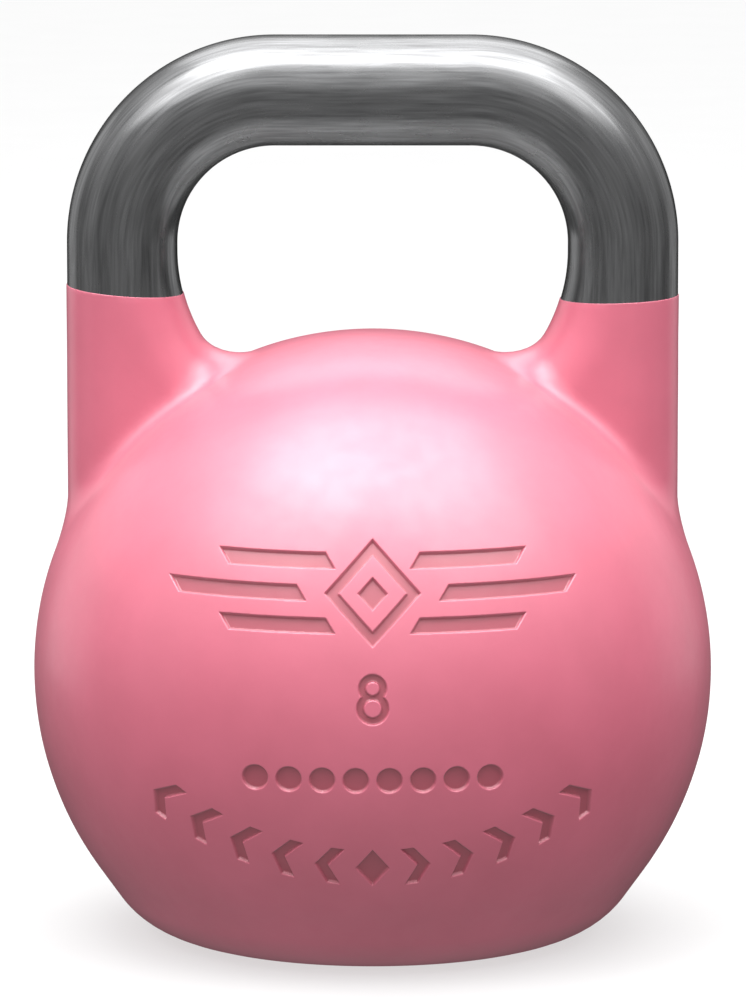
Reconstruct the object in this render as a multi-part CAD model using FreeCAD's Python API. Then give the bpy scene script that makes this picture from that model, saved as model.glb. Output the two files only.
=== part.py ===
"""Competition kettlebell, 8 kg: a hollow cast ball with two horns, and a bare round steel handle.

The ball, its horns and the seat ring in its base are one thin-walled casting. The handle is a bent round
bar whose ends are turned down to spigots; they sit in sockets in the horns and are welded round. A steel
plate closes the core hole in the base. It carries a weld nut with a screw plug, through which the bell is
brought to its exact mass with steel shot bound in resin.

Frame: millimetres, +Z up, X along the grip, front (the marked side) towards -Y. The origin is the centre of
the base, on the floor.
"""

import FreeCAD, Part
import math
import os

V = FreeCAD.Vector

# Ball
BALL_R = 105.0
BALL_Z = 82.0  # height of the ball's centre
SKIRT_ANGLE = 35.6  # degrees below the equator where the sphere runs out into a cone
BASE_ROUND_R = 29.0  # rounding between the cone and the flat base
WALL = 4.75

# Handle
BAR_R = 17.0
LEG_X = 77.0  # centre line of each leg
GRIP_Z = 261.5  # centre line of the grip
BEND_R = 46.9  # centre line of each bend
JOINT_Z = 199.0  # where the bar meets the horns
SPIGOT_R = 10.0
SPIGOT_LENGTH = 20.0
SPIGOT_CHAMFER = 1.5
SOCKET_CLEARANCE = 0.05
SOCKET_END_GAP = 0.5
JOINT_WELD_DEPTH = 3.0
JOINT_WELD_HALF_ANGLE = 34.0  # degrees, of the V groove

# Horns
WINDOW_R = 52.0  # the horn's inner side is an arc of this radius
WINDOW_ARC_Z = 212.0  # height at which the arc leaves the leg
HORN_ARC_ANGLE = 62.0  # degrees round the arc that the horn goes, into the ball
HORN_FOOT_Z = 112.0  # bottom of the horn's outer side, inside the ball
HORN_FILLET_R = 11.0

# Base
CORE_HOLE_R = 42.0
RECESS_R = 48.0
RECESS_DEPTH = 8.0
RECESS_CHAMFER = 1.5
SEAT_RING_R = 56.0
SEAT_RING_TOP = 16.0
PLATE_THICKNESS = 5.0
PLATE_GAP = 0.1
PLATE_WELD_LEG = 3.5

# Fill plug, its weld nut and its seal
THREAD_R = 12.0
THREAD_CLEARANCE = 0.05
PLATE_HOLE_R = 12.5
NUT_ACROSS_FLATS = 36.0
NUT_HEIGHT = 14.0
COLLAR_R = 14.5
COLLAR_HEIGHT = 4.0
SHANK_LENGTH = 14.0
PLUG_CHAMFER = 1.0
KEY_ACROSS_FLATS = 12.0
KEY_DEPTH = 9.0
SEAL_THICKNESS = 1.5
SEAL_INNER_R = 12.2

# Trim ballast: shot bound in resin, cast in a ring on the plate
BALLAST_R = 40.0
BALLAST_BORE_R = 21.2
BALLAST_HEIGHT = 8.2

# Marks, sunk into the front along Y. Their places are in the XZ plane.
MARK_DEPTH = 1.1
NUMERAL_LOOPS = ((88.2, 5.0, 2.4), (94.2, 4.4, 1.8))  # the 8's: height, outer and inner radius
PIP_COUNT = 8
PIP_R = 4.0
PIP_PITCH = 10.0
PIP_Z = 66.3
CHEVRON_ARC_Z = 153.2  # height of the centre that the row of chevrons curves round
CHEVRON_ARC_R = 115.1
CHEVRON_PITCH = 6.55  # degrees
CHEVRONS_A_SIDE = 5
CHEVRON_LENGTH = 8.6
CHEVRON_STROKE = 4.2
CHEVRON_HALF_HEIGHT = 6.0
LOZENGE_HALF = (5.2, 6.2)  # half width and half height of the lozenge amid the chevrons
BADGE_Z = 121.5
BADGE_FRAME_HALF = (14.5, 15.5)
BADGE_FRAME_STROKE = 4.6  # measured along X
BADGE_HEART_HALF = (4.6, 4.9)
STRIPE_HALF_HEIGHT = 2.4
STRIPE_GAP = 5.0  # from the badge's frame, along X
STRIPE_SLANT = 3.0
STRIPES = ((9.2, 46.0), (0.0, 61.0), (-9.2, 46.0))  # height above the badge's centre, and X of the outer end

STEEL = 7.85e-6  # kg per cubic millimetre
BOUND_SHOT = 7.2e-6

PLATE_BOTTOM = RECESS_DEPTH
PLATE_TOP = PLATE_BOTTOM + PLATE_THICKNESS
COLLAR_TOP = PLATE_BOTTOM - SEAL_THICKNESS
COLLAR_BOTTOM = COLLAR_TOP - COLLAR_HEIGHT
BALL_CENTRE = V(0, 0, BALL_Z)
BEND_X = LEG_X - BEND_R
BEND_Z = GRIP_Z - BEND_R
OVERRUN = 60.0  # how far a cutting tool runs past what it cuts
SIDES = (-1, 1)


def line(a, b):
    return Part.LineSegment(a, b).toShape()


def arc(a, middle, b):
    return Part.Arc(a, middle, b).toShape()


def polygon(points):
    return Part.Face(Part.makePolygon(list(points) + [points[0]]))


def slab(face, low_y, high_y):
    """A face in the XZ plane, made solid from low_y to high_y."""
    solid = face.extrude(V(0, high_y - low_y, 0))
    solid.translate(V(0, low_y, 0))
    return solid


def fuse_all(shapes):
    whole = shapes[0]
    for shape in shapes[1:]:
        whole = whole.fuse(shape)
    return whole.removeSplitter()


def turned(shape):
    """The same shape half a turn round Z, which takes a left piece to the right."""
    return shape.rotated(V(0, 0, 0), V(0, 0, 1), 180)


def both_sides(shapes):
    return shapes + [turned(shape) for shape in shapes]


def only_solid(shape):
    solids = shape.Solids
    assert len(solids) == 1, f"{len(solids)} solids where one belongs"
    return solids[0]


def cylinder(radius, bottom, top, x=0.0):
    return Part.makeCylinder(radius, top - bottom, V(x, 0, bottom))


def ring(outer, inner, bottom, top):
    return cylinder(outer, bottom, top).cut(cylinder(inner, bottom - 1, top + 1))


def hexagon(across_flats, bottom, top):
    corner = across_flats / math.sqrt(3)
    turns = [math.radians(60 * i) for i in range(6)]
    face = polygon([V(corner * math.cos(t), corner * math.sin(t), bottom) for t in turns])
    return face.extrude(V(0, 0, top - bottom))


def chamfer_circles(shape, size, radius, height):
    """Chamfers the round edges about Z of that radius at that height."""
    edges = [
        e
        for e in shape.Edges
        if e.Curve.TypeId == "Part::GeomCircle"
        and abs(e.Curve.Radius - radius) < 0.01
        and abs(e.Curve.Center.z - height) < 0.01
    ]
    return shape.makeChamfer(size, edges)


# Outside: ball, horns and handle in one


def ball_solid(inset):
    """The ball with its skirt and rounded foot, all moved inwards by inset. Its seam is at the back."""
    radius = BALL_R - inset
    foot_r = BASE_ROUND_R - inset
    slope = math.radians(SKIRT_ANGLE)
    skirt = (BALL_Z - BASE_ROUND_R - (BALL_R - BASE_ROUND_R) * math.sin(slope)) / math.cos(slope)
    foot = V(0, (BALL_R - BASE_ROUND_R) * math.cos(slope) - skirt * math.sin(slope), BASE_ROUND_R)

    def on_ball(angle):
        return V(0, radius * math.cos(angle), BALL_Z - radius * math.sin(angle))

    def on_foot(angle):
        return foot + V(0, foot_r * math.cos(angle), -foot_r * math.sin(angle))

    down = math.pi / 2
    top, skirt_start = on_ball(-down), on_ball(slope)
    skirt_end, flat_edge = on_foot(slope), on_foot(down)
    flat_centre = V(0, 0, inset)
    profile = [
        arc(top, on_ball(0), skirt_start),
        line(skirt_start, skirt_end),
        arc(skirt_end, on_foot((slope + down) / 2), flat_edge),
        line(flat_edge, flat_centre),
        line(flat_centre, top),
    ]
    return Part.Face(Part.Wire(profile)).revolve(V(0, 0, 0), V(0, 0, 1), 360)


def quarter_bend():
    """The bend between the grip and the left leg."""
    torus = Part.makeTorus(BEND_R, BAR_R, V(-BEND_X, 0, BEND_Z), V(0, 1, 0))
    reach = BEND_R + BAR_R
    return torus.common(Part.makeBox(reach, 2 * BAR_R, reach, V(-BEND_X - reach, -BAR_R, BEND_Z)))


def horn():
    """The left horn below the round leg, in three pieces that meet face to face.

    Its outer side is half a cylinder in line with the leg. Its inner side is half a tube along an arc that
    leaves the leg and runs into the ball. A flat web joins the two.
    """
    arc_r = WINDOW_R + BAR_R
    top = V(-LEG_X, 0, WINDOW_ARC_Z)
    foot = V(-LEG_X, 0, HORN_FOOT_Z)
    centre = top + V(arc_r, 0, 0)
    turn = math.radians(HORN_ARC_ANGLE)

    def on_arc(angle):
        return centre - V(arc_r * math.cos(angle), 0, arc_r * math.sin(angle))

    def half_disc(at, towards):
        start, end = at + V(0, -BAR_R, 0), at + V(0, BAR_R, 0)
        return Part.Face(Part.Wire([arc(start, at + V(towards * BAR_R, 0, 0), end), line(end, start)]))

    outer_half = half_disc(foot, -1).extrude(top - foot)
    window_side = arc(top, on_arc(turn / 2), on_arc(turn))
    web = Part.Face(Part.Wire([window_side, line(on_arc(turn), foot), line(foot, top)]))
    inner_half = half_disc(top, 1).revolve(centre, V(0, 1, 0), -HORN_ARC_ANGLE)
    return [outer_half, slab(web, -BAR_R, BAR_R), inner_half]


def ball_and_horn_edges(shape):
    """The edges where the horns come out of the ball."""
    found = []
    for edge in shape.Edges:
        middle = edge.valueAt((edge.FirstParameter + edge.LastParameter) / 2)
        points = [v.Point for v in edge.Vertexes] + [middle]
        on_ball = all(abs((p - BALL_CENTRE).Length - BALL_R) < 0.01 for p in points)
        at_horn = all(abs(p.y) < BAR_R + 0.01 and abs(p.x) > BEND_X for p in points)
        if on_ball and at_horn and middle.z > BALL_Z:
            found.append(edge)
    return found


def outer_shape():
    grip = Part.makeCylinder(BAR_R, 2 * BEND_X, V(-BEND_X, 0, GRIP_Z), V(1, 0, 0))
    leg = cylinder(BAR_R, WINDOW_ARC_Z, BEND_Z, -LEG_X)
    whole = fuse_all([ball_solid(0), grip] + both_sides([quarter_bend(), leg] + horn()))
    return whole.makeFillet(HORN_FILLET_R, ball_and_horn_edges(whole))


# Joint between handle and horns


def joint_groove():
    """The V groove round the left leg at the joint, which the weld fills."""
    root = BAR_R - JOINT_WELD_DEPTH
    mouth = BAR_R + JOINT_WELD_DEPTH
    rise = (mouth - root) * math.tan(math.radians(JOINT_WELD_HALF_ANGLE))
    section = polygon(
        [
            V(root - LEG_X, 0, JOINT_Z),
            V(mouth - LEG_X, 0, JOINT_Z + rise),
            V(mouth - LEG_X, 0, JOINT_Z - rise),
        ]
    )
    return section.revolve(V(-LEG_X, 0, 0), V(0, 0, 1), 360)


def handle_bar(outside):
    reach = LEG_X + BAR_R + 1
    bar = outside.common(Part.makeBox(2 * reach, 2 * reach, OVERRUN + BEND_R, V(-reach, -reach, JOINT_Z)))
    end = JOINT_Z - SPIGOT_LENGTH
    spigot = chamfer_circles(cylinder(SPIGOT_R, end, JOINT_Z + 1, -LEG_X), SPIGOT_CHAMFER, SPIGOT_R, end)
    for groove in both_sides([joint_groove()]):
        bar = bar.cut(groove)
    for end_piece in both_sides([spigot]):
        bar = bar.fuse(end_piece)
    return only_solid(bar.removeSplitter())


def joint_weld(outside):
    """The weld round the left leg."""
    return only_solid(outside.common(joint_groove()))


# Ball shell


def cavity():
    seat = cylinder(SEAT_RING_R, 0, SEAT_RING_TOP)
    return ball_solid(WALL).cut(seat)


def base_openings():
    """The core hole, and the recess whose top step seats the plate."""
    recess = cylinder(RECESS_R, -1, PLATE_TOP)
    mouth = Part.makeCone(RECESS_R + RECESS_CHAMFER + 1, RECESS_R, RECESS_CHAMFER + 1, V(0, 0, -1))
    return [cylinder(CORE_HOLE_R, -1, SEAT_RING_TOP + 1), recess, mouth]


def ball_shell(outside):
    reach = BALL_R + 1
    shell = outside.common(Part.makeBox(2 * reach, 2 * reach, JOINT_Z + 1, V(-reach, -reach, -1)))
    shell = shell.cut(cavity())
    for tool in base_openings():
        shell = shell.cut(tool)
    bottom = JOINT_Z - SPIGOT_LENGTH - SOCKET_END_GAP
    socket = cylinder(SPIGOT_R + SOCKET_CLEARANCE, bottom, JOINT_Z + 1, -LEG_X)
    for tool in both_sides([socket, joint_groove()]):
        shell = shell.cut(tool)
    return only_solid(shell.cut(mark_tools()))


# Marks


def disc(x, z, radius):
    return Part.Face(Part.Wire(Part.makeCircle(radius, V(x, 0, z), V(0, 1, 0))))


def lozenge(z, half):
    width, height = half
    return polygon([V(width, 0, z), V(0, 0, z + height), V(-width, 0, z), V(0, 0, z - height)])


def numeral():
    loops = fuse_all([disc(0, z, outer) for z, outer, _ in NUMERAL_LOOPS])
    for z, _, inner in NUMERAL_LOOPS:
        loops = loops.cut(disc(0, z, inner))
    return loops.Faces


def pips():
    start = -(PIP_COUNT - 1) * PIP_PITCH / 2
    return [disc(start + i * PIP_PITCH, PIP_Z, PIP_R) for i in range(PIP_COUNT)]


def chevron(side, step):
    """A chevron that points outwards, turned to stand on the arc."""
    tip = CHEVRON_LENGTH / 2
    height = CHEVRON_HALF_HEIGHT
    outline = [
        (-tip, height),
        (CHEVRON_STROKE - tip, height),
        (tip, 0),
        (CHEVRON_STROKE - tip, -height),
        (-tip, -height),
        (tip - CHEVRON_STROKE, 0),
    ]
    turn = math.radians(CHEVRON_PITCH * step)

    def place(along, out):
        radius = CHEVRON_ARC_R - out
        x = radius * math.sin(turn) + along * math.cos(turn)
        z = CHEVRON_ARC_Z - radius * math.cos(turn) + along * math.sin(turn)
        return V(side * x, 0, z)

    return polygon([place(along, out) for along, out in outline])


def stripe(side, rise, end):
    """A stripe beside the badge, whose inner end keeps clear of the badge's frame."""
    width, height = BADGE_FRAME_HALF
    start = width * (1 - abs(rise) / height) + STRIPE_GAP
    low, high = rise - STRIPE_HALF_HEIGHT, rise + STRIPE_HALF_HEIGHT
    lean = STRIPE_SLANT
    corners = [(start, low), (start + lean, high), (end, high), (end - lean, low)]
    return polygon([V(side * x, 0, BADGE_Z + z) for x, z in corners])


def badge():
    width, height = BADGE_FRAME_HALF
    inner_width = width - BADGE_FRAME_STROKE
    inner = (inner_width, height * inner_width / width)
    frame = lozenge(BADGE_Z, BADGE_FRAME_HALF).cut(lozenge(BADGE_Z, inner))
    return frame.Faces + [lozenge(BADGE_Z, BADGE_HEART_HALF)]


def mark_tools():
    faces = numeral() + pips() + badge() + [lozenge(CHEVRON_ARC_Z - CHEVRON_ARC_R, LOZENGE_HALF)]
    for side in SIDES:
        faces += [chevron(side, step + 1) for step in range(CHEVRONS_A_SIDE)]
        faces += [stripe(side, rise, end) for rise, end in STRIPES]
    skin = Part.makeSphere(BALL_R + 1, BALL_CENTRE).cut(Part.makeSphere(BALL_R - MARK_DEPTH, BALL_CENTRE))
    return [slab(face, -BALL_R - 1, -BALL_R / 3).common(skin) for face in faces]


# Base plate and what is on it


def base_plate():
    disc_solid = cylinder(RECESS_R - PLATE_GAP, PLATE_BOTTOM, PLATE_TOP)
    return disc_solid.cut(cylinder(PLATE_HOLE_R, PLATE_BOTTOM - 1, PLATE_TOP + 1))


def plate_weld():
    """The bead in the corner between the plate and the wall of the recess."""
    corner = RECESS_R
    section = polygon(
        [
            V(corner, 0, PLATE_BOTTOM),
            V(corner, 0, PLATE_BOTTOM - PLATE_WELD_LEG),
            V(corner - PLATE_WELD_LEG, 0, PLATE_BOTTOM),
        ]
    )
    return section.revolve(V(0, 0, 0), V(0, 0, 1), 360)


def weld_nut():
    top = PLATE_TOP + NUT_HEIGHT
    return hexagon(NUT_ACROSS_FLATS, PLATE_TOP, top).cut(cylinder(THREAD_R, PLATE_TOP - 1, top + 1))


def fill_plug():
    collar = cylinder(COLLAR_R, COLLAR_BOTTOM, COLLAR_TOP)
    collar = chamfer_circles(collar, PLUG_CHAMFER, COLLAR_R, COLLAR_BOTTOM)
    tip = COLLAR_TOP + SHANK_LENGTH
    shank_r = THREAD_R - THREAD_CLEARANCE
    shank = chamfer_circles(cylinder(shank_r, COLLAR_TOP, tip), PLUG_CHAMFER, shank_r, tip)
    key = hexagon(KEY_ACROSS_FLATS, COLLAR_BOTTOM - 1, COLLAR_BOTTOM + KEY_DEPTH)
    return only_solid(collar.fuse(shank).removeSplitter().cut(key))


def plug_seal():
    return ring(COLLAR_R, SEAL_INNER_R, COLLAR_TOP, PLATE_BOTTOM)


def trim_ballast():
    return ring(BALLAST_R, BALLAST_BORE_R, PLATE_TOP, PLATE_TOP + BALLAST_HEIGHT)


def build():
    outside = outer_shape()
    weld = joint_weld(outside)
    return {
        "ball_shell": ball_shell(outside),
        "handle_bar": handle_bar(outside),
        "left_handle_weld": weld,
        "right_handle_weld": turned(weld),
        "base_plate": base_plate(),
        "base_plate_weld": plate_weld(),
        "weld_nut": weld_nut(),
        "fill_plug": fill_plug(),
        "plug_seal": plug_seal(),
        "trim_ballast": trim_ballast(),
    }


def main():
    os.makedirs("parts", exist_ok=True)
    total = 0.0
    for name, shape in build().items():
        mass = shape.Volume * (BOUND_SHOT if name == "trim_ballast" else STEEL)
        total += mass
        print(f"{name}: valid {shape.isValid()}, {len(shape.Solids)} solid, {mass:.3f} kg")
        shape.exportStep(f"parts/{name}.step")
    print(f"total {total:.3f} kg")


if __name__ == "__main__":
    main()
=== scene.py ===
"""Looks for the competition kettlebell: a pink enamelled ball and horns, and a bare brushed steel handle.

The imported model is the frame. Two pieces with fine meshes stand for its casting and its bar: painted_ball,
with its sunk marks, and steel_handle, which runs down to the edge of the enamel. A rippled bead stands for
the weld round the base plate. The rest of the frame's nodes stay, with materials of their own.
"""

import math

import bmesh
import bpy
import numpy as np
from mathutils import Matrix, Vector


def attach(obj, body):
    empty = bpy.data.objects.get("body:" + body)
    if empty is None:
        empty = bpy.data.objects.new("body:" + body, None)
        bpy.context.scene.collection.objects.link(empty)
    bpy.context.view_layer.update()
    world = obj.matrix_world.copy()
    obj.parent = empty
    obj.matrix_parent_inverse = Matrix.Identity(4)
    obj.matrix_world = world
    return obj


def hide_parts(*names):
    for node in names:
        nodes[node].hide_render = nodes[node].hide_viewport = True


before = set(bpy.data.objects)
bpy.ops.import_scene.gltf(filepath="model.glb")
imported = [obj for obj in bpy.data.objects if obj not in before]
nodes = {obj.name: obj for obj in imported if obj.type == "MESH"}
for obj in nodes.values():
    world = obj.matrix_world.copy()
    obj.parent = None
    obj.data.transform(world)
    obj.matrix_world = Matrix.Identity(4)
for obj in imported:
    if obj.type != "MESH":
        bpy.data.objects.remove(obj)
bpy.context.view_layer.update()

MM = 0.001

# Ball
BALL_R = 104.95 * MM  # a hair inside the frame's ball, so that the finished surface stays within it
BALL_Z = 82 * MM
SKIRT_ANGLE = math.radians(35.6)  # below the equator, where the sphere runs out into a cone
BASE_ROUND_R = 29 * MM
WALL = 4.75 * MM
UNEVENNESS = 0.045 * MM  # of the cast surface
UNEVEN_LENGTHS = (60 * MM, 18 * MM)  # its longest and shortest wave
UNEVEN_WAVES = 40
UNEVEN_FADE = 10 * MM  # over which it dies away towards the foot and towards the enamel's edge

# Handle and horns
BAR_R = 17 * MM
LEG_X = 77 * MM
GRIP_Z = 261.5 * MM
BEND_R = 46.9 * MM
WINDOW_R = 52 * MM
WINDOW_ARC_Z = 212 * MM
HORN_FOOT_Z = 112 * MM
FILLET_R = 4 * MM  # between ball and horn
SADDLE_FILLET_R = 12 * MM  # where it is widest, in the middle of the horn's inner side
SADDLE_X = (70 * MM, 52 * MM)  # where it starts to widen, and where it is widest
SADDLE_HALF_DEPTH = 18 * MM  # along Y
SPIGOT_R = 10 * MM
SPIGOT_LENGTH = 20 * MM
SPIGOT_CHAMFER = 1.5 * MM
SOCKET_GAP = 0.05 * MM
SOCKET_END_GAP = 0.5 * MM

# Enamel
COAT = 0.25 * MM
# Where the enamel ends on each horn: the height on the leg's centre line, and how it slopes along X and Y
PAINT_EDGE = {-1: (200.4 * MM, -0.077, 0.025), 1: (197.9 * MM, 0.036, 0.004)}
EDGE_START = 0.2 * MM  # below the edge, where the coat starts to round over
# How the edge is rounded: how far proud of the steel, and how far above the edge's line
EDGE_ROUNDING = ((0.22 * MM, -0.08 * MM), (0.13 * MM, -0.02 * MM), (0.02 * MM, 0.0))
OVERLAP = 1 * MM  # of the coat over the steel

# Base
FOOT_CUT_Z = 10 * MM  # the net of the outside ends here, and turned rings go on below
RECESS_R = 48 * MM
RECESS_CHAMFER = 1.5 * MM
CORE_HOLE_R = 42 * MM
SEAT_RING_R = 56 * MM
SEAT_RING_TOP = 16 * MM
PLATE_BOTTOM = 8 * MM
PLATE_TOP = 13 * MM
PLATE_WELD_LEG = 3.5 * MM
WELD_RIPPLES = 96
COLUMNS_A_RIPPLE = 5
SPANS_ACROSS_WELD = 9
WELD_RIPPLE_DEPTH = 0.16 * MM

# Marks, sunk into the front. Their places are in the XZ plane.
MARK_DEPTH = 1.1 * MM
MARK_WALL = 0.55 * MM  # width of the sloping wall, seen from the front
NUMERAL_LOOPS = ((88.2 * MM, 5.0 * MM, 2.4 * MM), (94.2 * MM, 4.4 * MM, 1.8 * MM))
PIP_COUNT = 8
PIP_R = 4 * MM
PIP_PITCH = 10 * MM
PIP_Z = 66.3 * MM
CHEVRON_ARC_Z = 153.2 * MM
CHEVRON_ARC_R = 115.1 * MM
CHEVRON_PITCH = math.radians(6.55)
CHEVRONS_A_SIDE = 5
CHEVRON_LENGTH = 8.6 * MM
CHEVRON_STROKE = 4.2 * MM
CHEVRON_HALF_HEIGHT = 6 * MM
LOZENGE_HALF = (5.2 * MM, 6.2 * MM)
BADGE_Z = 121.5 * MM
BADGE_FRAME_HALF = (14.5 * MM, 15.5 * MM)
BADGE_FRAME_STROKE = 4.6 * MM
BADGE_HEART_HALF = (4.6 * MM, 4.9 * MM)
STRIPE_HALF_HEIGHT = 2.4 * MM
STRIPE_GAP = 5 * MM
STRIPE_SLANT = 3 * MM
STRIPES = ((9.2 * MM, 46 * MM), (0.0, 61 * MM), (-9.2 * MM, 46 * MM))
MARKS_HALF_WIDTH = 75 * MM  # no mark reaches this far from the middle
MARKS_TOP = 150 * MM  # or this high

# Meshes
NET_STEP = 2.3 * MM
REFINED = (3.0 * MM, 1.5 * MM, 0.75 * MM)  # how near to a mark's wall the net is halved, each time
OUTLINE_REACH = 2 * MM  # how near to an outline the net is made of triangles
OUTLINE_SNAP = 0.08 * MM  # a vertex this near to an outline moves onto it
BAR_SEGMENTS = 120
BAR_STEP = 1.2 * MM

# Camera
CAMERA_X = 0.11 * MM
CAMERA_DISTANCE = 2200 * MM
CAMERA_HEIGHT = 481.8 * MM
CAMERA_AIM_Z = 134.3 * MM
LENS = 259.34

# Stage
FLOOR_HALF = 9.0
FLOOR_Z = -0.2 * MM  # just below the foot, so that the two don't share a plane
FLOOR_GLOW = 0.62  # makes it nearly white where no shadow falls

# Colours
PINK = (0.77, 0.137, 0.228)
# The deeper pink is mixed in at random as mottle, and inside the sunk marks as painted shade.
MOTTLE_AND_SHADE_PINK = (0.44, 0.05, 0.09)
BASE_PINK = (0.76, 0.18, 0.26)
DEEP_BASE_PINK = (0.55, 0.09, 0.15)
PAINTED_REFLECTION_GREY = (0.34, 0.34, 0.34)  # painted reflection: glossy rays see the enamel in this grey, so the steel mirrors the ball without its pink

# Light. The ambient light has a direction and a level. Softboxes have a place, a size and watts, and face
# the bell.
AMBIENT = (
    ((0, 0, 1), 2.2),
    ((0, 0, -1), 0.36),
    ((0, -1, 0), 0.42),
    ((-1, 0, 0), 0.26),
    ((1, 0, 0), 0.18),
)
SOFTBOXES = {
    "overhead": ((0, -0.2, 1.7), (1.6, 1.2), 13.0),
    "key": ((-0.3, -0.3, 1.6), (0.9, 0.6), 3.2),
    "overhead_left": ((-0.7, -0.6, 1.5), (1.2, 1.2), 10.0),
    "overhead_right": ((0.8, -0.6, 1.5), (1.2, 1.2), 9.5),
    "overhead_back": ((0, 0.9, 1.5), (1.6, 0.8), 7.0),
    "front": ((0, -2.3, 1.2), (1.4, 0.8), 1.6),
    "left": ((-1.7, -0.4, 0.45), (0.8, 1.2), 0.9),
    "right": ((1.7, -0.4, 0.45), (0.8, 1.2), 0.7),
    "back_left": ((-1.4, 1.0, 0.4), (1.0, 1.2), 2.2),
    "back_right": ((1.4, 1.0, 0.4), (1.0, 1.2), 1.8),
}

BALL_CENTRE = np.array([0.0, 0.0, BALL_Z])
BEND_X = LEG_X - BEND_R
BEND_Z = GRIP_Z - BEND_R
SOCKET_BOTTOM = PAINT_EDGE[1][0] - SPIGOT_LENGTH - SOCKET_END_GAP
SIDES = (-1, 1)


# Shapes as distances. Each takes points as rows and gives metres, positive outside.


def foot_profile():
    """Where the cone starts on the sphere, its length, and the centre of the foot's rounding."""
    out, down = math.cos(SKIRT_ANGLE), math.sin(SKIRT_ANGLE)
    start = np.array([BALL_R * out, BALL_Z - BALL_R * down])
    length = (BALL_Z - BASE_ROUND_R - (BALL_R - BASE_ROUND_R) * down) / out
    foot = np.array([(BALL_R - BASE_ROUND_R) * out - length * down, BASE_ROUND_R])
    return start, length, foot


def ball_distance(p):
    start, length, foot = foot_profile()
    radius, height = np.hypot(p[:, 0], p[:, 1]), p[:, 2]
    out, down = math.cos(SKIRT_ANGLE), math.sin(SKIRT_ANGLE)
    along = -(radius - start[0]) * down - (height - start[1]) * out
    sphere = np.hypot(radius, height - BALL_Z) - BALL_R
    cone = (radius - start[0]) * out - (height - start[1]) * down
    foot_round = np.hypot(radius - foot[0], height - foot[1]) - BASE_ROUND_R
    foot_part = np.where(radius < foot[0], -height, foot_round)
    return np.where(along < 0, sphere, np.where(along < length, cone, foot_part))


def horn_distance(p, radius):
    """The legs below the bends, and the horns that they widen into."""
    x, y, z = np.abs(p[:, 0]), p[:, 1], p[:, 2]
    arc_r = WINDOW_R + BAR_R
    from_arc = np.hypot(x - LEG_X + arc_r, z - WINDOW_ARC_Z)
    web = np.where(x > LEG_X, x - LEG_X, np.maximum(arc_r - from_arc, 0))
    flat = np.where(z > WINDOW_ARC_Z, np.abs(x - LEG_X), web)
    below = np.maximum(HORN_FOOT_Z - z, 0)
    return np.sqrt(flat**2 + below**2 + y**2) - radius


def painted_distance(p):
    """Ball and horns, with a fillet where they meet."""
    ball = ball_distance(p)
    horn = horn_distance(p, BAR_R + COAT)
    saddle = np.interp(-np.abs(p[:, 0]), [-x for x in SADDLE_X], (0, 1))
    saddle *= np.cos(np.clip(p[:, 1] / SADDLE_HALF_DEPTH, -1, 1) * math.pi / 2)
    r = FILLET_R + (SADDLE_FILLET_R - FILLET_R) * saddle
    corner = np.hypot(np.maximum(r - ball, 0), np.maximum(r - horn, 0))
    return np.maximum(r, np.minimum(ball, horn)) - corner


def gradient(distance, p):
    reach = 0.01 * MM
    parts = []
    for axis in np.eye(3):
        parts.append((distance(p + reach * axis) - distance(p - reach * axis)) / (2 * reach))
    return np.stack(parts, 1)


def settle(distance, p, free=(1, 1, 1), rounds=3):
    """The points moved onto the surface, along the axes that are free."""
    for _ in range(rounds):
        slope = gradient(distance, p) * free
        steep = np.maximum((slope**2).sum(1), 0.05)
        p = p - (distance(p) / steep)[:, None] * slope
    return p


def surface_net(distance, low, high, step):
    """A mesh of quads where the distance is zero: one vertex in each grid cell that the surface crosses."""
    counts = [int((b - a) / step) + 2 for a, b in zip(low, high)]
    axes = [a + step * np.arange(n) for a, n in zip(low, counts)]
    grid = np.stack(np.meshgrid(*axes, indexing="ij"), -1)
    field = distance(grid.reshape(-1, 3)).reshape(counts)
    cells = np.array(counts) - 1
    crossings, owners, quads = [], [], []
    for axis in range(3):
        across, up = (axis + 1) % 3, (axis + 2) % 3
        first = np.take(field, range(counts[axis] - 1), axis)
        second = np.take(field, range(1, counts[axis]), axis)
        at = np.argwhere((first < 0) != (second < 0))
        whole = np.ones(len(at), bool)
        for other in (across, up):
            whole &= (at[:, other] > 0) & (at[:, other] < cells[other])
        at = at[whole]
        a, b = first[tuple(at.T)], second[tuple(at.T)]
        crossing = np.array(low) + step * at
        crossing[:, axis] += step * a / (a - b)
        quad = []
        for back_across, back_up in ((0, 0), (1, 0), (1, 1), (0, 1)):
            cell = at.copy()
            cell[:, across] -= back_across
            cell[:, up] -= back_up
            quad.append(np.ravel_multi_index(cell.T, cells))
            crossings.append(crossing)
            owners.append(quad[-1])
        quad = np.stack(quad, 1)
        quads.append(np.where((a > 0)[:, None], quad[:, ::-1], quad))
    crossings, quads = np.concatenate(crossings), np.concatenate(quads)
    used, index = np.unique(np.concatenate(owners), return_inverse=True)
    count = np.bincount(index)
    points = np.stack([np.bincount(index, crossings[:, i]) / count for i in range(3)], 1)
    return points, np.searchsorted(used, quads)


def relax(points, quads, distance, rounds):
    """Evens out the net: each vertex goes towards its neighbours' middle, and back onto the surface."""
    ends = np.concatenate([quads[:, [i, (i + 1) % 4]] for i in range(4)])
    ends = np.concatenate([ends, ends[:, ::-1]])
    count = np.bincount(ends[:, 0], minlength=len(points))[:, None]
    for _ in range(rounds):
        sums = [np.bincount(ends[:, 0], points[ends[:, 1], i], len(points)) for i in range(3)]
        middle = np.stack(sums, 1) / count
        points = settle(distance, points + 0.5 * (middle - points), rounds=1)
    return settle(distance, points)


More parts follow.
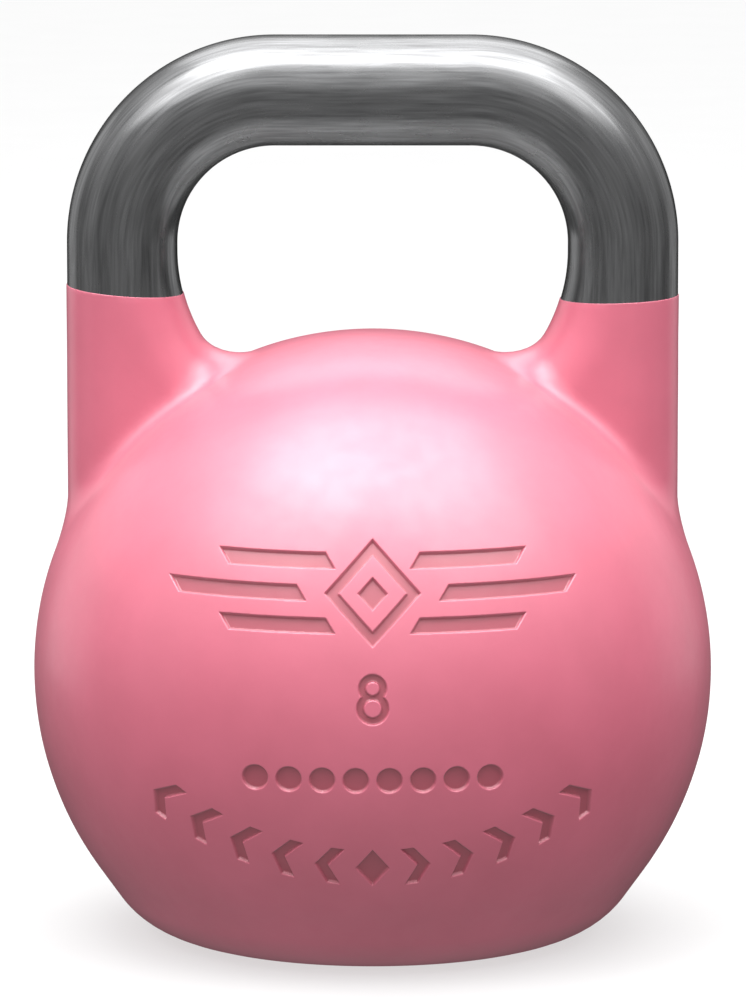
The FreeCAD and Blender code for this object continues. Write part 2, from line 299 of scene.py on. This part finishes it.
def waves(p, longest, shortest, count, seed):
    """Smooth random unevenness, roughly between -1 and 1: a sum of plane waves."""
    rng = np.random.default_rng(seed)
    total = np.zeros(len(p))
    for _ in range(count):
        direction = rng.normal(size=3)
        direction /= np.linalg.norm(direction)
        length = rng.uniform(shortest, longest)
        total += np.sin(p @ direction * (2 * math.pi / length) + rng.uniform(0, 2 * math.pi))
    return total / math.sqrt(2 * count)


# The marks, as distances in the XZ plane, negative inside a mark


def disc(x, z, at, radius):
    return np.hypot(x - at[0], z - at[1]) - radius


def polygon(x, z, corners):
    """Signed distance to a polygon."""
    nearest = np.full(len(x), np.inf)
    inside = np.zeros(len(x), bool)
    for (ax, az), (bx, bz) in zip(corners, corners[1:] + corners[:1]):
        ex, ez = bx - ax, bz - az
        t = np.clip(((x - ax) * ex + (z - az) * ez) / (ex * ex + ez * ez), 0, 1)
        nearest = np.minimum(nearest, np.hypot(x - ax - t * ex, z - az - t * ez))
        if ez:
            crosses = (az > z) != (bz > z)
            inside ^= crosses & (x < ax + (z - az) * ex / ez)
    return np.where(inside, -nearest, nearest)


def lozenge(x, z, height, half):
    corners = [(half[0], height), (0, height + half[1]), (-half[0], height), (0, height - half[1])]
    return polygon(x, z, corners)


def numeral(x, z):
    outer = np.minimum.reduce([disc(x, z, (0, h), r) for h, r, _ in NUMERAL_LOOPS])
    return np.maximum.reduce([outer] + [-disc(x, z, (0, h), r) for h, _, r in NUMERAL_LOOPS])


def chevron(x, z, side, step):
    tip, height = CHEVRON_LENGTH / 2, CHEVRON_HALF_HEIGHT
    outline = [
        (-tip, height),
        (CHEVRON_STROKE - tip, height),
        (tip, 0),
        (CHEVRON_STROKE - tip, -height),
        (-tip, -height),
        (tip - CHEVRON_STROKE, 0),
    ]
    turn = CHEVRON_PITCH * step
    corners = []
    for along, inward in outline:
        radius = CHEVRON_ARC_R - inward
        across = radius * math.sin(turn) + along * math.cos(turn)
        up = CHEVRON_ARC_Z - radius * math.cos(turn) + along * math.sin(turn)
        corners.append((side * across, up))
    return polygon(x, z, corners)


def stripe(x, z, side, rise, end):
    width, height = BADGE_FRAME_HALF
    start = width * (1 - abs(rise) / height) + STRIPE_GAP
    low, high = rise - STRIPE_HALF_HEIGHT, rise + STRIPE_HALF_HEIGHT
    corners = [(start, low), (start + STRIPE_SLANT, high), (end, high), (end - STRIPE_SLANT, low)]
    return polygon(x, z, [(side * a, BADGE_Z + b) for a, b in corners])


def badge(x, z):
    width, height = BADGE_FRAME_HALF
    inner_width = width - BADGE_FRAME_STROKE
    hole = lozenge(x, z, BADGE_Z, (inner_width, height * inner_width / width))
    ring = np.maximum(lozenge(x, z, BADGE_Z, BADGE_FRAME_HALF), -hole)
    return np.minimum(ring, lozenge(x, z, BADGE_Z, BADGE_HEART_HALF))


def mark_distance(p):
    """The marks on the front of the ball. Points elsewhere count as far away."""
    result = np.full(len(p), 1.0)
    front = (p[:, 1] < -BALL_R / 3) & (np.abs(p[:, 0]) < MARKS_HALF_WIDTH) & (p[:, 2] < MARKS_TOP)
    x, z = p[front, 0], p[front, 2]
    first_pip = -(PIP_COUNT - 1) * PIP_PITCH / 2
    marks = [disc(x, z, (first_pip + i * PIP_PITCH, PIP_Z), PIP_R) for i in range(PIP_COUNT)]
    marks += [numeral(x, z), badge(x, z), lozenge(x, z, CHEVRON_ARC_Z - CHEVRON_ARC_R, LOZENGE_HALF)]
    for side in SIDES:
        marks += [chevron(x, z, side, step + 1) for step in range(CHEVRONS_A_SIDE)]
        marks += [stripe(x, z, side, rise, end) for rise, end in STRIPES]
    result[front] = np.minimum.reduce(marks)
    return result


# Mesh helpers


def new_piece(name, bm):
    bmesh.ops.recalc_face_normals(bm, faces=bm.faces)
    mesh = bpy.data.meshes.new(name)
    bm.to_mesh(mesh)
    bm.free()
    piece = bpy.data.objects.new(name, mesh)
    bpy.context.scene.collection.objects.link(piece)
    return piece


def points_of(verts):
    return np.array([v.co for v in verts])


def store(mesh, name, values):
    """A value or a vector on each vertex, for the materials to read."""
    kind, field = ("FLOAT", "value") if values.ndim == 1 else ("FLOAT_VECTOR", "vector")
    layer = mesh.attributes.new(name, kind, "POINT")
    layer.data.foreach_set(field, values.astype(np.float32).ravel())


def add_ring(bm, loop, places):
    """A ring of new vertices, joined to the loop by quads."""
    ring = [bm.verts.new(place) for place in places]
    for i in range(len(loop)):
        j = (i + 1) % len(loop)
        face = bm.faces.new((loop[i], loop[j], ring[j], ring[i]))
        face.smooth = True
    return ring


def turned_ring(bm, loop, radius, height):
    """A ring about Z, at the loop's own angles."""
    turns = [math.atan2(v.co.y, v.co.x) for v in loop]
    return add_ring(bm, loop, [(radius * math.cos(t), radius * math.sin(t), height) for t in turns])


def sharpen(bm, ring):
    for a, b in zip(ring, ring[1:] + ring[:1]):
        bm.edges.get((a, b)).smooth = False


def profile_arc(centre, radius, start, end, count):
    """Points along an arc of a profile, without its first. Angles are above the outward direction."""
    turns = [start + (end - start) * i / count for i in range(1, count + 1)]
    return [(centre[0] + radius * math.cos(t), centre[1] + radius * math.sin(t)) for t in turns]


def open_loop(bm, x, belongs):
    """The vertices of an open edge, in order round the vertical line through x."""
    verts = {v for e in bm.edges if e.is_boundary for v in e.verts if belongs(v.co)}
    return sorted(verts, key=lambda v: math.atan2(v.co.y, v.co.x - x))


def paint_edge(side, p):
    """Height of the edge of the enamel at these points."""
    height, slope_x, slope_y = PAINT_EDGE[side]
    return height + slope_x * (p[:, 0] - side * LEG_X) + slope_y * p[:, 1]


# Painted ball


def cut(bm, within, place, normal):
    """Cuts the faces whose middles are within, and takes away what lies on the normal's side."""
    faces = [f for f in bm.faces if within(f.calc_center_median())]
    edges = dict.fromkeys(e for f in faces for e in f.edges)
    verts = dict.fromkeys(v for f in faces for v in f.verts)
    bmesh.ops.bisect_plane(
        bm,
        geom=list(verts) + list(edges) + faces,
        dist=0.02 * MM,
        plane_co=place,
        plane_no=normal,
        clear_outer=True,
    )


def outside_net():
    """The ball and horns as a fine net that ends at the edge of the enamel and above the foot."""
    reach = BALL_R + 3 * NET_STEP
    top = max(height for height, _, _ in PAINT_EDGE.values())
    low = (-reach, -reach, FOOT_CUT_Z - 3 * NET_STEP)
    high = (reach, reach, top + 5 * NET_STEP)
    points, quads = surface_net(painted_distance, low, high, NET_STEP)
    points = relax(points, quads, painted_distance, 5)
    bm = bmesh.new()
    verts = [bm.verts.new(p) for p in points]
    for quad in quads:
        face = bm.faces.new([verts[i] for i in quad])
        face.smooth = True
    cut(bm, lambda at: at.z < BASE_ROUND_R, (0, 0, FOOT_CUT_Z), (0, 0, -1))
    for side in SIDES:
        height, slope_x, slope_y = PAINT_EDGE[side]
        edge_at = (side * LEG_X, 0, height - EDGE_START)
        cut(bm, lambda at: at.x * side > 0 and at.z > BALL_Z + BALL_R / 2, edge_at, (-slope_x, -slope_y, 1))
    return bm


def onto_ball(points):
    out = points - BALL_CENTRE
    return BALL_CENTRE + out * (BALL_R / np.linalg.norm(out, axis=1))[:, None]


def refine(bm, near):
    """Halves the edges that lie near an outline, and puts what is new on the ball."""
    edges = list(bm.edges)
    middles = np.array([(e.verts[0].co + e.verts[1].co) / 2 for e in edges])
    close = np.abs(mark_distance(middles) + MARK_WALL / 2) < near
    chosen = [edges[i] for i in np.flatnonzero(close)]
    bmesh.ops.subdivide_edges(bm, edges=chosen, cuts=1, use_grid_fill=True)
    verts = list(bm.verts)
    points = points_of(verts)
    around = np.flatnonzero(np.abs(mark_distance(points)) < 2 * near)
    for i, place in zip(around, onto_ball(points[around])):
        verts[i].co = place


def cut_outline(bm, level):
    """Puts edges exactly along one contour of the marks."""
    faces = list(bm.faces)
    centres = np.array([f.calc_center_median() for f in faces])
    near = np.flatnonzero(np.abs(mark_distance(centres) - level) < OUTLINE_REACH)
    bmesh.ops.triangulate(bm, faces=[faces[i] for i in near])
    verts = list(bm.verts)
    points = points_of(verts)
    off = mark_distance(points) - level
    snap = np.flatnonzero(np.abs(off) < OUTLINE_SNAP)
    slope = gradient(mark_distance, points[snap]) * (1, 0, 1)
    steep = np.maximum((slope**2).sum(1), 0.5)
    moved = onto_ball(points[snap] - (off[snap] / steep)[:, None] * slope)
    off[snap] = 0
    value = dict(zip(verts, off))
    on_line = {}
    for i, place in zip(snap, moved):
        verts[i].co = place
        on_line[verts[i]] = True
    for edge in list(bm.edges):
        a, b = edge.verts
        if value[a] * value[b] < 0:
            _, vert = bmesh.utils.edge_split(edge, a, value[a] / (value[a] - value[b]))
            on_line[vert] = True
            value[vert] = 0
    for face in dict.fromkeys(f for v in on_line for f in v.link_faces):
        ends = [v for v in face.verts if v in on_line]
        if len(ends) == 2 and not bm.edges.get(ends):
            bmesh.utils.face_split(face, ends[0], ends[1])


def sink_marks(bm):
    for near in REFINED:
        refine(bm, near)
    cut_outline(bm, 0)
    cut_outline(bm, -MARK_WALL)
    verts = list(bm.verts)
    points = points_of(verts)
    share = np.clip(-mark_distance(points) / MARK_WALL, 0, 1)
    for i in np.flatnonzero(share):
        verts[i].co = points[i] + MARK_DEPTH * share[i] * (BALL_CENTRE - points[i]) / BALL_R


def roughen(bm):
    """The slight unevenness of a cast and enamelled surface, which makes its highlights wander."""
    verts = list(bm.verts)
    points = points_of(verts)
    top = min(height for height, _, _ in PAINT_EDGE.values()) - 3 * MM
    fade = np.clip((points[:, 2] - FOOT_CUT_Z) / UNEVEN_FADE, 0, 1)
    fade *= np.clip((top - points[:, 2]) / UNEVEN_FADE, 0, 1)
    height = UNEVENNESS * fade * (waves(points, *UNEVEN_LENGTHS, UNEVEN_WAVES, seed=8) - 1)
    slope = gradient(painted_distance, points)
    for vert, place in zip(verts, points + height[:, None] * slope):
        vert.co = place


def close_foot(bm):
    """The rounded foot, the ring it stands on, the recess, the core hole and the cavity's wall."""
    _, _, foot = foot_profile()
    loop = open_loop(bm, 0, lambda co: co.z < FOOT_CUT_Z + NET_STEP)
    cut_turn = math.asin((FOOT_CUT_Z - foot[1]) / BASE_ROUND_R)
    for place in profile_arc(foot, BASE_ROUND_R, cut_turn, -math.pi / 2, 10):
        loop = turned_ring(bm, loop, *place)
    rim = RECESS_R + RECESS_CHAMFER
    loop = turned_ring(bm, loop, rim + 0.5 * MM, 0)
    loop = turned_ring(bm, loop, rim - 0.2 * MM, 0.2 * MM)
    corners = (
        (RECESS_R, RECESS_CHAMFER),
        (RECESS_R, PLATE_TOP),
        (CORE_HOLE_R, PLATE_TOP),
        (CORE_HOLE_R, SEAT_RING_TOP),
        (SEAT_RING_R, SEAT_RING_TOP),
        (SEAT_RING_R, WALL),
    )
    for place in corners:
        loop = turned_ring(bm, loop, *place)
        sharpen(bm, loop)
    cavity = profile_arc(foot, BASE_ROUND_R - WALL, -math.pi / 2, -SKIRT_ANGLE, 5)
    cavity += profile_arc((0, BALL_Z), BALL_R - WALL, -SKIRT_ANGLE, math.radians(85), 14)
    for place in cavity:
        loop = turned_ring(bm, loop, *place)
    bm.faces.new(loop)


def leg_circle(side, radius, turns):
    """A circle about a leg's centre line, at height zero."""
    x, y = side * LEG_X + radius * np.cos(turns), radius * np.sin(turns)
    return np.stack([x, y, np.zeros(len(turns))], 1)


def close_horn(bm, side):
    """The enamel's rounded edge, the face that the bar stands on, and the socket for its spigot."""
    x = side * LEG_X
    loop = open_loop(bm, x, lambda co: co.z > BALL_Z + BALL_R / 2 and co.x * side > 0)
    start = points_of(loop)
    face_drop = -OVERLAP - SOCKET_GAP
    for proud, rise in EDGE_ROUNDING + ((EDGE_ROUNDING[-1][0], face_drop),):
        places = settle(lambda p: horn_distance(p, BAR_R + proud), start, free=(1, 1, 0), rounds=4)
        places[:, 2] = paint_edge(side, places) + rise
        loop = add_ring(bm, loop, places)
    sharpen(bm, loop)
    places = leg_circle(side, SPIGOT_R + SOCKET_GAP, np.arctan2(start[:, 1], start[:, 0] - x))
    places[:, 2] = paint_edge(side, places) + face_drop
    loop = add_ring(bm, loop, places)
    sharpen(bm, loop)
    places[:, 2] = SOCKET_BOTTOM
    loop = add_ring(bm, loop, places)
    sharpen(bm, loop)
    bm.faces.new(loop)


def make_painted_ball():
    bm = outside_net()
    sink_marks(bm)
    roughen(bm)
    close_foot(bm)
    for side in SIDES:
        close_horn(bm, side)
    piece = new_piece("painted_ball", bm)
    points = points_of(piece.data.vertices)
    in_mark = (mark_distance(points) < 0) & (painted_distance(points) > -WALL / 2)
    # How deep each vertex lies in a mark, which the enamel turns into painted shade.
    store(piece.data, "sunk", np.clip(-painted_distance(points) / MARK_DEPTH, 0, 1) * in_mark)
    return piece


# Steel handle


def bar_section(x, z, out, turns):
    """A round section of the bar. Its first vertex is on the outer side of the bend, along out."""
    across = BAR_R * np.cos(turns)
    return np.stack([x + across * out[0], BAR_R * np.sin(turns), z + across * out[1]], 1)


def leg_sections(side, turns):
    """From the face of the joint up to where the leg is round."""
    circle = bar_section(side * LEG_X, WINDOW_ARC_Z, (side, 0), turns)
    edge = paint_edge(side, circle) - OVERLAP
    count = int((WINDOW_ARC_Z - edge.min()) / BAR_STEP)
    sections = []
    for i in range(count):
        section = circle.copy()
        section[:, 2] = edge + (WINDOW_ARC_Z - edge) * i / count
        sections.append(settle(lambda p: horn_distance(p, BAR_R), section, free=(1, 1, 0), rounds=4))
    return sections + [circle]


def bend_sections(side, turns):
    count = int(BEND_R * math.pi / 2 / BAR_STEP)
    sections = []
    for i in range(count):
        turn = math.pi / 2 * i / count
        out = (side * math.cos(turn), math.sin(turn))
        x, z = side * BEND_X + BEND_R * out[0], BEND_Z + BEND_R * out[1]
        sections.append(bar_section(x, z, out, turns))
    return sections


def bar_sections(turns):
    """From the left joint over the grip to the right one."""
    left = leg_sections(-1, turns) + bend_sections(-1, turns)
    right = leg_sections(1, turns) + bend_sections(1, turns)
    count = int(2 * BEND_X / BAR_STEP)
    grip = [bar_section(BEND_X * (2 * i / count - 1), GRIP_Z, (0, 1), turns) for i in range(count + 1)]
    return left + grip + right[::-1]


def add_spigot(bm, loop, side, turns):
    sharpen(bm, loop)
    bottom = SOCKET_BOTTOM + SOCKET_END_GAP
    facing = turns if side > 0 else math.pi - turns
    rings = ((SPIGOT_R, None), (SPIGOT_R, bottom + SPIGOT_CHAMFER), (SPIGOT_R - SPIGOT_CHAMFER, bottom))
    for radius, height in rings:
        places = leg_circle(side, radius, facing)
        places[:, 2] = paint_edge(side, places) - OVERLAP if height is None else height
        loop = add_ring(bm, loop, places)
        sharpen(bm, loop)
    bm.faces.new(loop)


def make_steel_handle():
    turns = np.arange(BAR_SEGMENTS) * (2 * math.pi / BAR_SEGMENTS)
    sections = bar_sections(turns)
    centres = np.array([section.mean(0) for section in sections])
    along = np.concatenate([[0], np.cumsum(np.linalg.norm(np.diff(centres, axis=0), axis=1))])
    bm = bmesh.new()
    uv = bm.loops.layers.uv.new("bar")
    loops = [[bm.verts.new(p) for p in section] for section in sections]
    for row in range(len(loops) - 1):
        for i in range(BAR_SEGMENTS):
            j = (i + 1) % BAR_SEGMENTS
            face = bm.faces.new((loops[row][i], loops[row][j], loops[row + 1][j], loops[row + 1][i]))
            face.smooth = True
            steps = ((i, row), (i + 1, row), (i + 1, row + 1), (i, row + 1))
            for corner, (step, at) in zip(face.loops, steps):
                corner[uv].uv = (step / BAR_SEGMENTS, along[at] / along[-1])
    add_spigot(bm, loops[0], -1, turns)
    add_spigot(bm, loops[-1], 1, turns)
    piece = new_piece("steel_handle", bm)
    grain = np.zeros((len(piece.data.vertices), 3))
    count = len(sections) * BAR_SEGMENTS
    grain[:count, 0] = np.tile(BAR_R * np.cos(turns), len(sections))
    grain[:count, 1] = np.tile(BAR_R * np.sin(turns), len(sections))
    grain[:count, 2] = np.repeat(along, BAR_SEGMENTS)
    store(piece.data, "grain", grain)
    return piece


# Weld round the base plate


def weld_section(phase, wander):
    """Points (radius, height) across the bead, whose surface has a ripple for each step of the torch."""
    points = []
    for k in range(SPANS_ACROSS_WELD + 1):
        share = k / SPANS_ACROSS_WELD
        arch = math.sin(math.pi * share)
        here = (phase - 0.9 * arch) % WELD_RIPPLES
        size = 1 + 0.3 * np.interp(here, range(WELD_RIPPLES + 1), wander)
        dip = WELD_RIPPLE_DEPTH * size * (1 - math.sin(math.pi * (here % 1))) * arch
        bulge = 0.25 * PLATE_WELD_LEG * arch - dip
        radius = RECESS_R - PLATE_WELD_LEG * (1 - share) - bulge
        points.append((radius, PLATE_BOTTOM - PLATE_WELD_LEG * share - bulge))
    return points + [(RECESS_R, PLATE_BOTTOM)]


def make_plate_weld():
    """A fillet bead in the corner between the plate and the recess."""
    steps = WELD_RIPPLES * COLUMNS_A_RIPPLE
    wander = np.random.default_rng(3).uniform(-1, 1, WELD_RIPPLES + 1)
    wander[-1] = wander[0]
    bm = bmesh.new()
    columns = []
    for i in range(steps):
        turn = 2 * math.pi * i / steps
        section = weld_section(i / COLUMNS_A_RIPPLE, wander)
        columns.append([bm.verts.new((r * math.cos(turn), r * math.sin(turn), z)) for r, z in section])
    for i in range(steps):
        here, following = columns[i], columns[(i + 1) % steps]
        for k in range(len(here)):
            m = (k + 1) % len(here)
            face = bm.faces.new((here[k], here[m], following[m], following[k]))
            face.smooth = k < len(here) - 2
    return new_piece("plate_weld_bead", bm)


# Materials


def new_material(name, colour, metallic=0.0, roughness=0.5, **settings):
    """A material and its Principled shader. Constant settings go straight on the shader's sockets."""
    material = bpy.data.materials.new(name)
    material.use_nodes = True
    tree = material.node_tree
    shader = tree.nodes["Principled BSDF"]
    shader.inputs["Base Color"].default_value = (*colour, 1)
    shader.inputs["Metallic"].default_value = metallic
    shader.inputs["Roughness"].default_value = roughness
    for key, value in settings.items():
        shader.inputs[key.replace("_", " ").title().replace("Ior", "IOR")].default_value = value
    return material, tree, shader


def node(tree, kind, inputs=(), **settings):
    """A new node. An input is a number, a colour, or another node's output."""
    made = tree.nodes.new("ShaderNode" + kind)
    for key, value in settings.items():
        setattr(made, key, value)
    for key, value in dict(inputs).items():
        if isinstance(value, bpy.types.NodeSocket):
            tree.links.new(value, made.inputs[key])
        else:
            made.inputs[key].default_value = value
    return made


def place(tree):
    return node(tree, "TexCoord").outputs["Object"]


def noise(tree, vector, size, detail=2.0):
    """Noise from 0 to 1 whose blots are about this many metres across."""
    return node(tree, "TexNoise", {"Vector": vector, "Scale": 1 / size, "Detail": detail}).outputs["Fac"]


def stretched(tree, vector, scale):
    return node(tree, "Mapping", {"Vector": vector, "Scale": scale}).outputs["Vector"]


def to_range(tree, value, low, high, start=0.3, end=0.7):
    inputs = {"Value": value, "From Min": start, "From Max": end, "To Min": low, "To Max": high}
    return node(tree, "MapRange", inputs).outputs["Result"]


def mix_colour(tree, factor, first, second):
    """first where the factor is 0 and second where it is 1. first may come from another node."""
    first = (*first, 1) if isinstance(first, tuple) else first
    return node(tree, "Mix", {0: factor, 6: first, 7: (*second, 1)}, data_type="RGBA").outputs[2]


def bump(tree, height, distance, below=None):
    inputs = {"Height": height, "Distance": distance, "Strength": 1.0}
    if below:
        inputs["Normal"] = below
    return node(tree, "Bump", inputs).outputs["Normal"]


def enamel(name, colour, shade):
    """A glossy coat over a casting, with orange peel, the casting's own grain, random mottle, and painted
    shade that darkens the sunk marks.
    """
    material, tree, shader = new_material(
        name,
        colour,
        roughness=0.55,
        ior=2.0,
        coat_weight=0.8,
        coat_roughness=0.26,
        sheen_weight=0.04,
        sheen_roughness=0.45,
    )
    at = place(tree)
    tint = mix_colour(tree, to_range(tree, noise(tree, at, 22 * MM, 3), 0, 0.18), colour, shade)
    # Painted shade: the deeper a point lies in a sunk mark, the more of the shade colour it takes.
    sunk = node(tree, "Attribute", attribute_name="sunk").outputs["Fac"]
    tint = mix_colour(tree, to_range(tree, sunk, 0, 0.9, 0, 1), tint, shade)
    # Painted reflection: rays that bounce off a glossy surface see the enamel in a flat grey, not pink.
    mirrored = node(tree, "LightPath").outputs["Is Glossy Ray"]
    tint = mix_colour(tree, mirrored, tint, PAINTED_REFLECTION_GREY)
    tree.links.new(tint, shader.inputs["Base Color"])
    tree.links.new(to_range(tree, noise(tree, at, 6 * MM, 3), 0.5, 0.6), shader.inputs["Roughness"])
    coarse = bump(tree, noise(tree, at, 5 * MM, 2), 0.045 * MM)
    peel = bump(tree, noise(tree, at, 0.9 * MM, 1), 0.008 * MM, coarse)
    tree.links.new(peel, shader.inputs["Normal"])
    return material


def brushed_steel():
    """Bare bar stock, brushed along its length."""
    material, tree, shader = new_material(
        "bare_steel", (0.3, 0.3, 0.3), metallic=1.0, roughness=0.3, anisotropic=0.25
    )
    grain = node(tree, "Attribute", attribute_name="grain").outputs["Vector"]
    long_streaks = noise(tree, stretched(tree, grain, (1, 1, 0.012)), 0.35 * MM, 3)
    short_streaks = noise(tree, stretched(tree, grain, (1, 1, 0.05)), 0.9 * MM, 2)
    mottle = noise(tree, stretched(tree, grain, (1, 1, 0.35)), 5 * MM, 3)
    bright, dull = (0.285, 0.287, 0.292), (0.155, 0.156, 0.159)
    tint = mix_colour(tree, to_range(tree, short_streaks, 0, 1), bright, dull)
    tint = mix_colour(tree, to_range(tree, mottle, 0, 0.5), tint, (0.2, 0.2, 0.202))
    tree.links.new(tint, shader.inputs["Base Color"])
    tree.links.new(to_range(tree, mottle, 0.2, 0.31), shader.inputs["Roughness"])
    scratches = bump(tree, long_streaks, 0.003 * MM)
    scratches = bump(tree, short_streaks, 0.007 * MM, scratches)
    tree.links.new(scratches, shader.inputs["Normal"])
    across = node(tree, "Tangent", direction_type="UV_MAP", uv_map="bar").outputs["Tangent"]
    tree.links.new(across, shader.inputs["Tangent"])
    return material


def plain_metal(name, bright, dull, roughness, blot, relief):
    """A metal with blotches of two colours, uneven gloss and a little relief."""
    material, tree, shader = new_material(name, bright, metallic=1.0, roughness=roughness)
    at = place(tree)
    blots = noise(tree, at, blot, 4)
    tree.links.new(mix_colour(tree, to_range(tree, blots, 0, 1), bright, dull), shader.inputs["Base Color"])
    tree.links.new(to_range(tree, blots, 0.8 * roughness, 1.25 * roughness), shader.inputs["Roughness"])
    tree.links.new(bump(tree, noise(tree, at, blot / 6, 3), relief), shader.inputs["Normal"])
    return material


def bound_shot():
    """Round iron shot set in dark resin."""
    material, tree, shader = new_material("bound_shot", (0.1, 0.1, 0.1), metallic=0.6, roughness=0.45)
    pellets = node(tree, "TexVoronoi", {"Vector": place(tree), "Scale": 1 / (1.6 * MM)}).outputs["Distance"]
    iron, resin = (0.22, 0.21, 0.2), (0.02, 0.018, 0.015)
    tint = mix_colour(tree, to_range(tree, pellets, 0, 1, 0.2, 0.6), iron, resin)
    tree.links.new(tint, shader.inputs["Base Color"])
    tree.links.new(bump(tree, to_range(tree, pellets, 1, 0, 0, 0.7), 0.4 * MM), shader.inputs["Normal"])
    return material


def dress(piece, material):
    piece.data.materials.clear()
    piece.data.materials.append(material)


def stand_for(piece, material, slot, *nodes):
    """The piece rides on the only body, and stands for these nodes of the frame."""
    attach(piece, "root")
    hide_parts(*nodes)
    dress(piece, material)


# Stage


def make_floor():
    bm = bmesh.new()
    corners = ((-1, -1), (1, -1), (1, 1), (-1, 1))
    bm.faces.new([bm.verts.new((FLOOR_HALF * x, FLOOR_HALF * y, FLOOR_Z)) for x, y in corners])
    floor = new_piece("floor", bm)
    material, tree, shader = new_material("pale_floor", (0.25, 0.25, 0.25), roughness=0.9)
    tint = mix_colour(tree, noise(tree, place(tree), 0.05), (0.26, 0.26, 0.26), (0.24, 0.24, 0.24))
    tree.links.new(tint, shader.inputs["Base Color"])
    shader.inputs["Emission Color"].default_value = (1, 1, 1, 1)
    shader.inputs["Emission Strength"].default_value = FLOOR_GLOW
    dress(floor, material)
    floor.visible_glossy = False
    floor.visible_diffuse = False


def aim(thing, at, target):
    thing.location = at
    thing.rotation_mode = "QUATERNION"
    thing.rotation_quaternion = (Vector(target) - Vector(at)).to_track_quat("-Z", "Y")
    bpy.context.scene.collection.objects.link(thing)


def add_softbox(name, at, size, watts):
    light = bpy.data.lights.new(name, "AREA")
    light.shape = "RECTANGLE"
    light.size, light.size_y = size
    light.energy = watts
    lamp = bpy.data.objects.new(name, light)
    lamp.visible_camera = False
    aim(lamp, at, (0, 0, CAMERA_AIM_Z))


def make_world():
    """Soft light from each side, fading as the square of the cosine. The camera sees plain white."""
    world = bpy.data.worlds.new("studio")
    bpy.context.scene.world = world
    world.use_nodes = True
    tree = world.node_tree
    direction = node(tree, "TexCoord").outputs["Generated"]
    total = 0.0
    for towards, level in AMBIENT:
        product = node(tree, "VectorMath", {0: direction, 1: towards}, operation="DOT_PRODUCT")
        cosine = product.outputs["Value"]
        facing = node(tree, "Math", {0: cosine, 1: 0.0}, operation="MAXIMUM").outputs[0]
        square = node(tree, "Math", {0: facing, 1: facing}, operation="MULTIPLY").outputs[0]
        total = node(tree, "Math", {0: square, 1: level, 2: total}, operation="MULTIPLY_ADD").outputs[0]
    seen = node(tree, "LightPath").outputs["Is Camera Ray"]
    light = node(tree, "Mix", {0: seen, 2: total, 3: 1.0}, data_type="FLOAT").outputs[0]
    tree.links.new(light, tree.nodes["Background"].inputs["Strength"])
    tree.nodes["Background"].inputs["Color"].default_value = (1, 1, 1, 1)


def make_camera():
    data = bpy.data.cameras.new("camera")
    data.sensor_fit = "VERTICAL"
    data.sensor_height = 36
    data.lens = LENS
    data.clip_start, data.clip_end = 0.1, 50
    camera = bpy.data.objects.new("camera", data)
    aim(camera, (CAMERA_X, -CAMERA_DISTANCE, CAMERA_HEIGHT), (CAMERA_X, 0, CAMERA_AIM_Z))
    bpy.context.scene.camera = camera


# Pieces

pink_enamel = enamel("pink_enamel", PINK, MOTTLE_AND_SHADE_PINK)
stand_for(make_painted_ball(), pink_enamel, "pink_enamel", "ball_shell")
handle_nodes = ("handle_bar", "left_handle_weld", "right_handle_weld")
stand_for(make_steel_handle(), brushed_steel(), "bare_steel", *handle_nodes)
base_enamel = enamel("base_enamel", BASE_PINK, DEEP_BASE_PINK)
stand_for(make_plate_weld(), base_enamel, "base_enamel", "base_plate_weld")

dress(nodes["base_plate"], base_enamel)
mill_steel = plain_metal("mill_steel", (0.2, 0.2, 0.21), (0.1, 0.1, 0.105), 0.5, 8 * MM, 0.05 * MM)
zinc_plate = plain_metal("zinc_plate", (0.62, 0.63, 0.66), (0.5, 0.51, 0.52), 0.3, 6 * MM, 0.01 * MM)
copper = plain_metal("copper", (0.72, 0.33, 0.2), (0.5, 0.2, 0.12), 0.35, 3 * MM, 0.01 * MM)
dress(nodes["weld_nut"], mill_steel)
dress(nodes["fill_plug"], zinc_plate)
dress(nodes["plug_seal"], copper)
dress(nodes["trim_ballast"], bound_shot())

make_floor()
make_world()
make_camera()
for name, (at, size, watts) in SOFTBOXES.items():
    add_softbox(name, at, size, watts)
bpy.context.scene.view_settings.view_transform = "Standard"
